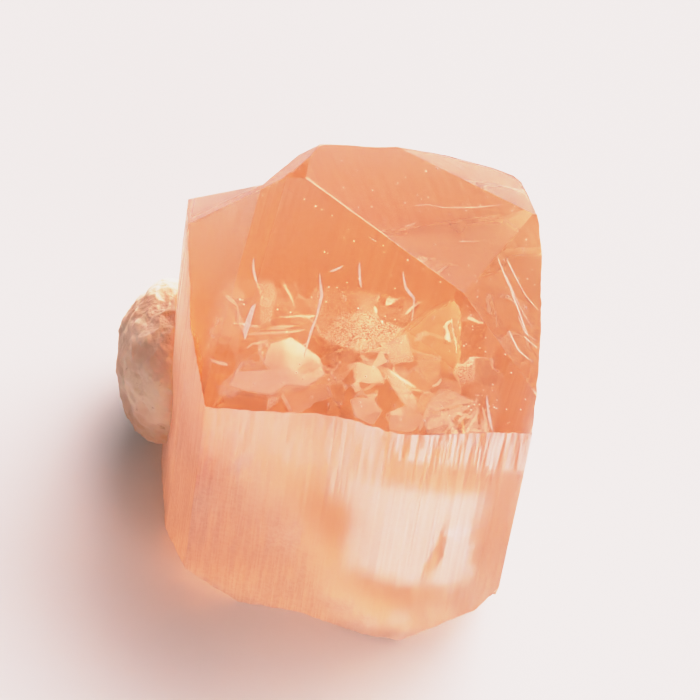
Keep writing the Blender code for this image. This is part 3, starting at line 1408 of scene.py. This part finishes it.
@dataclass
class HacklyCrack:
    """A large crack across the crystal: flats of air at many tilts, under a smoother healed film."""

    middle: Triple = (1.9, -3.0, 15.3)
    shift: Pair = (-0.05, 0.95)
    half: Pair = (8.15, 4.25)
    turn_deg: float = -9.0
    slope: Pair = (0.05, -0.27)
    step: float = 0.07
    thick: float = 0.012
    cover: float = 0.18
    oval: float = 0.2
    fade_from: float = 0.85
    ragged: Ripple = Ripple(0.03, 0.4, 3, 65)
    warps: tuple[Ripple, Ripple] = (Ripple(1.0, 1.3, 3, 35), Ripple(1.0, 1.3, 3, 36))
    jitter: float = 0.45
    wander: float = 0.12
    count: int = 130
    spread_deg: float = 8.0
    hackle: Ripple = Ripple(0.015, 0.22, 2, 45)
    film_above: float = 0.5
    film_slope: Pair = (-0.06, -0.08)
    film_waves: Ripple = Ripple(0.12, 2.2, 2, 46)
    open_share: float = 0.35
    film_share: float = 0.90
    film_high: float = 0.30
    open_high: float = 0.45
    joint_film: float = 0.9
    joint_gap: Pair = (0.22, 0.066)
    bare_grain: float = 0.5
    seed: int = 5
    flakes: tuple[Flake, ...] = (
        Flake(-7.40, 2.40, 1.35, 1.85, 0.22, corners=9),
        Flake(-6.95, -0.55, 0.80, 1.40, 0.0, corners=5),
        Flake(-5.75, 0.75, 0.60, 0.85, 0.05, 10.0, corners=5),
        Flake(-5.10, 3.90, 0.55, 1.80, 0.34, 5.0, grain=0.6, corners=5),
        Flake(-3.75, 4.55, 0.75, 1.15, 0.03, -20.0, corners=5),
        Flake(-1.70, 3.90, 1.40, 1.20, 0.24, 15.0, grain=1.0, corners=6),
        Flake(-4.70, -1.40, 1.70, 0.72, 0.75, 8.0, 0.2, 0.2, 6, 0.10),
        Flake(-3.25, 0.05, 1.75, 1.45, 0.95, -12.0, 0.3, 0.10, 7),
        Flake(-2.45, -0.05, 0.62, 0.36, 0.66, 25.0, 0.4, 0.0, 6, 0.35),
        Flake(0.00, 2.50, 1.85, 1.10, 0.62, 18.0, 1.0, 0.1, 7, 0.10),
        Flake(-0.95, 0.85, 0.75, 0.85, 0.12, 30.0, 0.8, 0.0, 5),
        Flake(2.15, 2.00, 0.95, 0.85, 0.42, 20.0, 0.5, -0.2, 5),
        Flake(1.15, 1.15, 0.48, 0.70, 0.40, -15.0, 0.0, 0.0, 3),
        Flake(0.45, 0.10, 0.95, 0.60, 0.38, -18.0, 0.1, 0.45, 6),
        Flake(-0.35, -1.35, 0.60, 1.45, 0.0, 0.0, 0.0, 0.0, 5),
        Flake(2.35, 0.62, 0.55, 0.30, 0.0, -15.0, 0.0, 0.0, 5, 0.3),
        Flake(3.95, 3.35, 1.90, 1.70, 0.02, 10.0, 0.0, 0.0, 5),
        Flake(3.60, 0.35, 0.85, 0.95, 0.06, -40.0, 0.2, 0.0, 5),
        Flake(2.55, -0.50, 1.30, 0.42, 0.66, -55.0, 0.7, 0.2, 6, 0.15),
        Flake(0.95, -2.00, 0.80, 0.90, 0.50, 10.0, 0.1, -0.3, 5),
        Flake(2.75, -2.15, 1.05, 0.80, 0.48, 12.0, 0.1, -0.4, 5),
        Flake(5.20, -1.05, 1.30, 1.05, 0.70, -25.0, 0.4, -0.25, 6, 0.12),
        Flake(4.45, -2.15, 0.85, 0.75, 0.42, 20.0, 0.1, 0.3, 4),
        Flake(5.75, 1.15, 0.65, 0.65, 0.62, 0.0, 1.0, 0.0, 7, 0.25),
        Flake(6.70, 0.60, 0.80, 1.60, 0.10, 0.0, 0.2, 0.0, 5),
        Flake(6.35, -1.85, 0.50, 1.20, 0.55, 12.0, 0.2, 0.4, 4),
        Flake(7.60, -1.20, 0.60, 1.40, 0.30, 0.0, 0.2, -0.5, 4, 0.2),
    )
    strokes: tuple[Stroke, ...] = (
        Stroke((-7.60, 3.80), (-6.45, 2.90), 0.24, 0.42),
        Stroke((-6.45, 2.90), (-5.90, 1.20), 0.26, 0.42),
        Stroke((-5.95, 1.25), (-2.90, 2.10), 0.20, 0.38),
        Stroke((-4.30, 2.60), (-2.20, 3.15), 0.16, 0.40),
        Stroke((-4.75, 1.85), (-3.50, 2.25), 0.24, 0.34),
        Stroke((-4.45, 5.00), (-3.55, 3.40), 0.16, 0.38),
        Stroke((6.70, -0.75), (7.25, -3.20), 0.20, 1.0),
        Stroke((6.35, -0.70), (6.90, -3.20), 0.16, 0.0),
        Stroke((6.30, -0.80), (5.30, -2.80), 0.18, 0.0),
        Stroke((6.20, -0.70), (4.75, -2.60), 0.20, 0.05),
        Stroke((6.15, -0.55), (4.20, -1.60), 0.16, 0.10),
        Stroke((6.45, -0.80), (5.80, -3.10), 0.14, 0.90),
        Stroke((4.10, -0.60), (3.60, -2.80), 0.16, 0.60),
        Stroke((1.95, -1.30), (2.10, -3.00), 0.12, 0.10),
        Stroke((4.60, 4.20), (5.05, 2.10), 0.12, 0.45),
        Stroke((1.70, 0.60), (3.10, -0.10), 0.14, 0.90),
    )

    def flats(self) -> tuple[Array, Array, Array, Array]:
        """Scatters the flats at seeded places.

        Returns:
            Their middles, slopes, films and open shares.
        """
        rng = np.random.default_rng(self.seed)
        places = rng.uniform(-1.0, 1.0, (self.count, 2)) * np.array(self.half) + np.array(self.shift)
        slopes = np.array(self.slope) - np.tan(np.radians(rng.normal(0.0, self.spread_deg, (self.count, 2))))
        films = self.film_high * rng.uniform(0.0, 1.0, self.count) ** 2
        opens = self.open_high * rng.uniform(0.0, 1.0, self.count) ** 2
        return places, slopes, films, opens

    def oval_grid(self) -> tuple[Array, Array]:
        """Spreads a square grid over the crack's ragged oval.

        A place (u, v) of the square goes to (u sqrt(1 - k v^2), v sqrt(1 - k u^2)), where k is how oval it
        is, times the half size and a little noise.

        Returns:
            Places on the crack in mm, and how far out each is, 1 at the border.
        """
        counts = [max(3, round(2.0 * half / self.step)) for half in self.half]
        u, v = np.meshgrid(*(np.linspace(-1.0, 1.0, n) for n in counts), indexing="ij")
        ragged = 1.0 + self.ragged.at(np.stack([u, v], -1))
        local = np.stack([u * np.sqrt(1.0 - self.oval * v * v), v * np.sqrt(1.0 - self.oval * u * u)], -1)
        local = local * ragged[..., None] * np.array(self.half) + np.array(self.shift)
        return local, np.maximum(np.abs(u), np.abs(v))

    def nearest(self, local: Array, places: Array) -> tuple[Whole, Array]:
        """Finds the flat that each place is on, and the healed film along the joint to the next flat.

        Args:
            local: Places on the crack in mm, shifted by noise, which makes the flats' edges crooked.
            places: The flats' middles.

        Returns:
            The number of each place's flat, and its joint film.
        """
        away = np.linalg.norm(local[..., None, :] - places, axis=-1)
        order = np.argpartition(away, 1, axis=-1)[..., :2]
        pair = np.take_along_axis(away, order, axis=-1)
        flat = np.where(pair[..., 0] < pair[..., 1], order[..., 0], order[..., 1])
        joint = np.random.default_rng(self.seed + 1).uniform(-1.0, 1.0, (self.count, self.count))
        healed = self.joint_film * np.maximum(0.0, joint[order.min(axis=-1), order.max(axis=-1)])
        return flat, healed * smooth(*self.joint_gap, np.abs(pair[..., 1] - pair[..., 0]))

    def painted(self, local: Array, film: Array) -> tuple[Array, Array]:
        """Lays the flakes and then the streaks over the flats' own film.

        Args:
            local: Places on the crack in mm, already shifted a little by noise.
            film: The film before.

        Returns:
            The film and the grain.
        """
        grain = np.full(film.shape, self.bare_grain)
        for seed, flake in enumerate(self.flakes, start=1):
            share = flake.share(local, seed)
            film = film * (1.0 - share) + share * flake.density(local)
            grain = grain * (1.0 - share) + share * flake.grain
        for stroke in self.strokes:
            share = stroke.share(local)
            film = film * (1.0 - share) + share * stroke.film
            grain = grain * (1.0 - share)
        return film, grain

    def shape(self, crystal: Crystal) -> list[tuple[Array, Whole, Array, Array]]:
        """Makes the open crack and the healed film over it, each with a ragged oval border.

        The crack's height is the plane of the nearest flat, through that flat's middle on the crack's mean
        plane. The film's height is a plane of its own with low waves. Both stay under the crystal's faces.

        Args:
            crystal: The crystal that they lie in.

        Returns:
            For the crack and then the film: points in mm, triangles, and each point's film and grain.
        """
        local, out = self.oval_grid()
        warp = np.stack([ripple.at(local) for ripple in self.warps], axis=-1)
        places, slopes, films, opens = self.flats()
        flat, seam = self.nearest(local + self.jitter * warp, places)
        rise = ((local - places[flat]) * slopes[flat]).sum(axis=-1)
        crack = self.middle[2] + (places @ np.array(self.slope))[flat] + rise + self.hackle.at(local)
        level = self.middle[2] + local @ np.array(self.film_slope) + self.film_above
        level += self.film_waves.at(local)
        turn = math.radians(self.turn_deg)
        right = np.array([math.cos(turn), math.sin(turn)])
        back = np.array([-math.sin(turn), math.cos(turn)])
        across = np.array(self.middle[:2]) + local[..., :1] * right + local[..., 1:] * back
        fade = smooth(1.0, self.fade_from, out)
        film, grain = self.painted(local + self.wander * warp, films[flat])
        film = np.maximum(film, seam) * fade
        air = np.maximum(opens[flat] * fade, self.open_share * film)
        sheets = []
        for height, share in ((crack, air), (level, self.film_share * film)):
            outline = crystal.pulled_in(crystal.axis.to_outline(across, height))
            upper = crystal.axis.to_world(outline, np.minimum(height, crystal.top(outline) - self.cover))
            points, faces = closed_sheet(upper, upper - np.array([0.0, 0.0, self.thick]))
            sheets.append((points, faces, *(np.tile(value.ravel(), 2) for value in (share, grain))))
        return sheets


@dataclass(frozen=True)
class Scratch:
    """A fine whitish crack that opens on an end face, along a few places across the crystal."""

    places: tuple[Pair, ...]
    wide: float = 0.12
    film: float = 0.75
    proud: float = 0.012
    deep: float = 0.05
    step: float = 0.12
    fewest: int = 12
    columns: int = 4
    tip: float = 0.12
    ragged: Ripple = Ripple(0.45, 0.5, 1, 7)

    def shape(self, crystal: Crystal) -> Mesh:
        """A ribbon in the face: p = path + s * width * side, pointed at its ends.

        Args:
            crystal: The crystal whose face it lies in.

        Returns:
            Points in mm, and triangles.
        """
        corners = np.array(self.places)
        legs = np.concatenate([[0.0], np.cumsum(np.linalg.norm(np.diff(corners, axis=0), axis=-1))])
        walk = np.linspace(0.0, legs[-1], max(self.fewest, round(legs[-1] / self.step)))
        path = np.stack([np.interp(walk, legs, corners[:, k]) for k in (0, 1)], axis=-1)
        way = np.gradient(path, axis=0)
        side = np.stack([way[:, 1], -way[:, 0]], axis=-1) / np.linalg.norm(way, axis=-1, keepdims=True)
        share = walk / legs[-1]
        bow = np.sqrt(np.clip(4.0 * share * (1.0 - share), 0.0, 1.0))
        wide = self.wide * (self.tip + (1.0 - self.tip) * bow) * (1.0 + self.ragged.at(walk[:, None]))
        across = path + np.linspace(0.0, 1.0, self.columns)[:, None, None] * (wide[:, None] * side)
        upper = crystal.axis.to_world(across, crystal.top(across) + self.proud)
        return closed_sheet(upper, upper - np.array([0.0, 0.0, self.deep]))


@dataclass(frozen=True)
class Specks:
    """Tiny pale pits in the end faces, each a closed diamond of eight faces."""

    count: int = 300
    size: Pair = (0.02, 0.06)
    sink: Pair = (-0.01, 0.02)
    reach: float = 0.93
    seed: int = 91

    def shape(self, crystal: Crystal) -> Mesh:
        """Scatters the diamonds at seeded shares of random spokes of the outline.

        Args:
            crystal: The crystal that they lie in.

        Returns:
            Points in mm, and triangles.
        """
        rng = np.random.default_rng(self.seed)
        rim = crystal.rim()[0]
        spoke = rim[rng.integers(0, len(rim), self.count)]
        across = spoke * (self.reach * np.sqrt(rng.uniform(0.0, 1.0, self.count)))[:, None]
        height = crystal.top(across) - rng.uniform(*self.sink, self.count)
        middle = crystal.axis.to_world(across, height)
        size = rng.uniform(*self.size, self.count)
        tips = np.array([(1, 0, 0), (-1, 0, 0), (0, 1, 0), (0, -1, 0), (0, 0, 1), (0, 0, -1)], dtype=float)
        points = middle[:, None] + size[:, None, None] * tips
        around = ((0, 2), (2, 1), (1, 3), (3, 0))
        sides = np.array([(a, b, 4) for a, b in around] + [(b, a, 5) for a, b in around])
        faces = sides[None] + len(tips) * np.arange(self.count)[:, None, None]
        return points.reshape(-1, 3), faces.reshape(-1, 3).astype(np.int32)


@dataclass(frozen=True)
class ColourZone:
    """The deeper orange cap that follows the end faces inside the crystal."""

    share: float = 0.965
    skin: float = 0.25
    floor: float = 12.0
    slope: Pair = (0.10, 0.05)
    waves: Ripple = Ripple(0.4, 3.0, 2, 77)
    rows: int = 14
    every: int = 4

    def shape(self, crystal: Crystal) -> Mesh:
        """Rings out from the axis under the end faces, and back along the zone's own floor.

        Args:
            crystal: The crystal that it lies in.

        Returns:
            Points in mm, and triangles.
        """
        rim = crystal.rim()[0][:: self.every]
        out = np.linspace(0.0, self.share, self.rows + 1)[1:]
        upper = out[:, None, None] * rim
        across = np.concatenate([upper, upper[::-1]])
        heights = np.concatenate([self.roof(crystal, upper), self.ground(upper[::-1])])
        middle = np.zeros((1, 2))
        first = crystal.axis.to_world(middle, self.roof(crystal, middle))[0]
        last = crystal.axis.to_world(middle, self.ground(middle))[0]
        return closed_rings(crystal.axis.to_world(across, heights), first, last)

    def roof(self, crystal: Crystal, outline: Array) -> Array:
        """The zone's upper side, a skin's depth under the end faces."""
        return crystal.top(outline) - self.skin

    def ground(self, outline: Array) -> Array:
        """The zone's lower side: a sloping plane with low waves."""
        return self.floor + outline @ np.array(self.slope) + self.waves.at(outline)


@dataclass
class Inclusions:
    """What is sealed in the crystal or opens on its end: the large crack, fine cracks, specks and zone."""

    crystal: Crystal
    crack: HacklyCrack = field(default_factory=HacklyCrack)
    scratches: tuple[Scratch, ...] = (
        Scratch(((-7.07, 1.95), (-6.85, 0.95), (-7.05, 0.20), (-7.40, -0.75), (-7.65, -1.55)), 0.13),
        Scratch(((-5.13, 2.11), (-4.98, 0.98)), 0.10),
        Scratch(((-10.35, 3.10), (-10.30, 2.60), (-10.11, 2.00)), 0.10),
        Scratch(((-10.15, 1.10), (-10.40, 0.20), (-10.60, -0.35)), 0.24),
        Scratch(((-3.00, 1.40), (-2.80, 0.70), (-2.35, 0.15), (-2.45, -0.80)), 0.10),
        Scratch(((-6.60, 1.95), (-5.95, 2.10)), 0.08),
        Scratch(((-2.30, 6.05), (-1.60, 6.45), (-0.70, 6.50), (1.27, 7.30), (2.50, 7.95)), 0.07, 0.22),
        Scratch(((-0.09, 4.04), (1.05, 4.45)), 0.06, 0.20),
        Scratch(((-2.90, 4.20), (-2.30, 4.70)), 0.10, 0.15),
        Scratch(((1.31, -4.51), (1.68, -6.10)), 0.10),
        Scratch(((1.99, 3.56), (2.91, 0.83), (3.42, -1.00)), 0.10, 0.32),
        Scratch(((2.45, 3.80), (3.40, 1.75), (4.15, 1.00)), 0.08, 0.30),
        Scratch(((2.38, -1.22), (2.87, -2.30), (3.70, -2.80)), 0.09, 0.32),
        Scratch(((2.40, 2.55), (3.10, 0.70), (3.75, -0.45)), 0.07, 0.28),
        Scratch(((2.90, 0.10), (3.35, -0.95), (4.00, -1.20)), 0.07, 0.28),
        Scratch(((3.20, -1.19), (3.95, -1.61)), 0.09, 0.32),
    )
    specks: Specks = field(default_factory=Specks)
    zone: ColourZone = field(default_factory=ColourZone)
    scratch_grain: float = 0.3
    crease_deg: float = 40.0

    def build(self) -> dict[Fill, Piece]:
        """Makes one piece for each fill.

        Returns:
            The pieces, by what fills them.
        """
        batches = {fill: Batch() for fill in Fill}
        sheets = self.crack.shape(self.crystal)
        for fill, (points, faces, film, grain) in zip((Fill.AIR, Fill.FILM), sheets):
            batches[fill].add(points, faces, film=film, grain=grain)
        for scratch in self.scratches:
            shape = scratch.shape(self.crystal)
            batches[Fill.WHITE].add(*shape, film=scratch.film, grain=self.scratch_grain)
        batches[Fill.WHITE].add(*self.specks.shape(self.crystal), film=1.0, grain=0.0)
        batches[Fill.ZONE].add(*self.zone.shape(self.crystal))
        return {fill: batch.build(fill.value, self.crease_deg) for fill, batch in batches.items()}


# ---- The matrix ----


@dataclass
class Knob:
    """The lump of matrix beside the crystal's back left corner, by its root."""

    centre: Triple = (-8.10, 4.10, 4.70)
    half: Triple = (3.00, 4.35, 4.55)
    around: int = 240
    rows: int = 160
    floor: float = 0.25
    sink: float = 0.05
    lumps: Ripple = Ripple(0.42, 2.6, 3, 41)
    knots: Ripple = Ripple(0.26, 1.3, 2, 44)
    grains: Ripple = Ripple(0.13, 0.45, 3, 46)
    foot: Ripple = Ripple(0.04, 0.7, 2, 3)
    dark_foot_clouds: Ripple = Ripple(1.0, 1.7, 3, 50)
    dark_foot_edge: Pair = (-0.25, 0.35)
    dark_foot_height: Pair = (5.6, 2.6)
    dark_foot_front: Pair = (4.5, 0.5)
    dark_foot_least: float = 0.55
    crease_deg: float = 60.0

    def build(self) -> Piece:
        """Makes the knob: an egg pushed out along each direction by lumps - |knots| + grains, flat below.

        Returns:
            The piece, with how far it turns dark brown towards its foot and front stored on its points.
        """
        turn = np.linspace(0.0, 2.0 * math.pi, self.around, endpoint=False)
        rise = np.linspace(0.0, math.pi, self.rows + 2)[1:-1, None]
        parts = np.sin(rise) * np.cos(turn), np.sin(rise) * np.sin(turn), np.cos(rise)
        rings = np.stack(np.broadcast_arrays(*parts), axis=-1)
        way, faces = closed_rings(rings, np.array([0.0, 0.0, 1.0]), np.array([0.0, 0.0, -1.0]))
        egg = way * np.array(self.half)
        push = self.lumps.at(egg) - np.abs(self.knots.at(egg)) + self.grains.at(egg) - self.sink
        placed = np.array(self.centre) + egg + way * push[:, None]
        placed[:, 2] = np.maximum(placed[:, 2], self.floor + self.foot.at(egg))
        piece = mesh_object("matrix_lump", placed, faces, self.crease_deg)
        # darker brown towards the foot and the front, broken into clouds
        low = smooth(*self.dark_foot_height, placed[:, 2]) * smooth(*self.dark_foot_front, placed[:, 1])
        clouds = smooth(*self.dark_foot_edge, self.dark_foot_clouds.at(egg))
        point_values(piece, "dark_brown", low * (self.dark_foot_least + (1.0 - self.dark_foot_least) * clouds))
        return piece


# ---- The studio ----


@dataclass(frozen=True)
class SoftLight:
    """A large soft patch of bright room: even over its core, and fading out to its reach."""

    strength: float
    rise_deg: float
    turn_deg: float
    core_deg: float
    reach_deg: float
    sill_deg: Pair = (-2.0, -1.0)

    def glow(self, bench: Bench, way: Signal, up: Signal) -> Signal:
        """Its brightness in each direction, cut off softly below its sill.

        Args:
            bench: The bench that holds the world's nodes.
            way: The direction.
            up: The direction's rise, as a sine.

        Returns:
            The brightness.
        """
        middle = tuple(tipped(90.0 - self.rise_deg, self.turn_deg))
        facing = bench.signal(
            "ShaderNodeVectorMath", "Value", {"operation": "DOT_PRODUCT"}, {0: way, 1: middle}
        )
        reach, core = (math.cos(math.radians(angle)) for angle in (self.reach_deg, self.core_deg))
        sill = bench.ramp(up, *(math.sin(math.radians(angle)) for angle in self.sill_deg))
        return bench.ramp(facing, reach, core) * sill * self.strength


@dataclass
class Studio:
    """A plain pale floor, soft light from the back right and the front, and the camera."""

    target: Triple = (1.361, 0.776, 11.895)
    distance: float = 250.0
    elevation_deg: float = 60.0
    lens: float = 249.0
    sensor: float = 36.0
    clip_m: Pair = (0.01, 20.0)
    floor_reach_m: float = 3.0
    floor_gap: float = 0.03
    floor_colour: Colour = (0.63, 0.676, 0.672)
    world_colour: Colour = (1.0, 0.985, 0.98)
    room_strength: float = 0.12
    key: SoftLight = SoftLight(8.3, 22.0, 45.0, 30.0, 53.0, (6.0, 18.0))
    fill: SoftLight = SoftLight(3.2, 17.0, 300.0, 12.0, 38.0)
    shoulder: float = 0.60
    gains: Colour = (1.30, 1.0, 1.0)
    ceilings: Colour = (0.895, 0.868, 0.862)
    white_level: float = 6.0
    bend_levels: tuple[float, float, int] = (0.0, 1.5, 11)
    bright_levels: tuple[float, float, int] = (2.0, 6.0, 5)

    def floor(self) -> Piece:
        """Makes the floor, one level sheet just under the stone.

        Returns:
            The floor, with its material.
        """
        reach, level = self.floor_reach_m, -self.floor_gap * MM
        mesh = bpy.data.meshes.new("floor")
        corners = [(x * reach, y * reach, level) for x, y in ((-1, -1), (1, -1), (1, 1), (-1, 1))]
        mesh.from_pydata(corners, [], [(0, 1, 2, 3)])
        piece = bpy.data.objects.new("floor", mesh)
        bpy.context.scene.collection.objects.link(piece)
        mesh.materials.append(PlainFinish("studio_floor", self.floor_colour).material())
        return piece

    def world(self) -> None:
        """Fills the room with faint even light and the glow of the two soft lights."""
        world = bpy.data.worlds.new("studio")
        world.use_nodes = True
        bench = Bench(world.node_tree)
        way = bench.signal("ShaderNodeTexCoord", "Generated")
        up = bench.axes(way)[2]
        lit = self.key.glow(bench, way, up) + self.fill.glow(bench, way, up) + self.room_strength
        room = bench.shader("Background", {"Color": self.world_colour, "Strength": lit})
        bench.node("ShaderNodeOutputWorld", None, {"Surface": room})
        world.cycles.sampling_method = "NONE"
        bpy.context.scene.world = world

    def shown(self, lit: Array, ceiling: float) -> Array:
        """How bright a light level is shown: as it is up to the shoulder s, then closing on the ceiling c.

        Past the shoulder a level x is shown as s + (c - s) (1 - e^((s - x) / (c - s))).

        Args:
            lit: Light levels.
            ceiling: The brightest that any level is shown.

        Returns:
            The levels as shown.
        """
        room = ceiling - self.shoulder
        over = np.maximum(lit - self.shoulder, 0.0)
        return np.minimum(lit, self.shoulder) + room * (1.0 - np.exp(-over / room))

    def develop(self) -> None:
        """Sets how light becomes colour: a warm gain, then a soft shoulder that never burns out."""
        view = bpy.context.scene.view_settings
        view.view_transform = "Standard"
        view.use_curve_mapping = True
        mapping = view.curve_mapping
        mapping.white_level = (self.white_level,) * 3
        mapping.use_clip = True
        levels = np.concatenate([np.linspace(*self.bend_levels), np.linspace(*self.bright_levels)])
        for curve, gain, ceiling in zip(mapping.curves, self.gains, self.ceilings):
            while len(curve.points) < len(levels):
                curve.points.new(1.0, 1.0)
            for point, level, value in zip(curve.points, levels, self.shown(levels * gain, ceiling)):
                point.location = (float(level / self.white_level), float(value))
        mapping.update()

    def camera(self) -> None:
        """Stands the camera in front of the stone, looking down at it."""
        rise = math.radians(self.elevation_deg)
        data = bpy.data.cameras.new("camera")
        data.lens = self.lens
        data.sensor_width = self.sensor
        data.clip_start, data.clip_end = self.clip_m
        eye = bpy.data.objects.new("camera", data)
        away = self.distance * MM * Vector((0.0, -math.cos(rise), math.sin(rise)))
        eye.location = Vector(self.target) * MM + away
        eye.rotation_euler = (math.pi / 2 - rise, 0.0, 0.0)
        bpy.context.scene.collection.objects.link(eye)
        bpy.context.scene.camera = eye

    def build(self) -> None:
        """Builds the studio and sets how often light is followed on."""
        self.world()
        self.floor()
        self.camera()
        self.develop()
        for kind, count in BOUNCES.items():
            setattr(bpy.context.scene.cycles, f"{kind}_bounces", count)
        log.info("studio: floor, world and camera")


# ---- The scene ----


def dress(piece: Piece, material: Material, node: str | None = None) -> None:
    """Finishes a piece.

    Args:
        piece: The piece.
        material: Its material.
        node: The CAD node that it stands for, if it does.
    """
    piece.data.materials.append(material)
    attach(piece, BODY)
    if node:
        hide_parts(node)
    log.info("%s: %d points", piece.name, len(piece.data.vertices))


def main() -> None:
    """Builds the stone and the studio."""
    logging.basicConfig(level=logging.INFO, format="%(name)s %(message)s")
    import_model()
    crystal = Crystal()
    dress(crystal.build(), TopazFinish().material(), "topaz_crystal")
    finishes = {
        Fill.AIR: OpenCrackFinish().material(),
        Fill.FILM: VeilFinish().material(),
        Fill.WHITE: VeilFinish("white_film", pale=(0.97, 0.95, 0.93), through=0.4, pearly=False).material(),
        Fill.ZONE: ZoneFinish().material(),
    }
    for fill, piece in Inclusions(crystal).build().items():
        dress(piece, finishes[fill])
    dress(Knob().build(), MatrixFinish().material(), "matrix_knob")
    Studio().build()


if __name__ == "__main__":
    main()
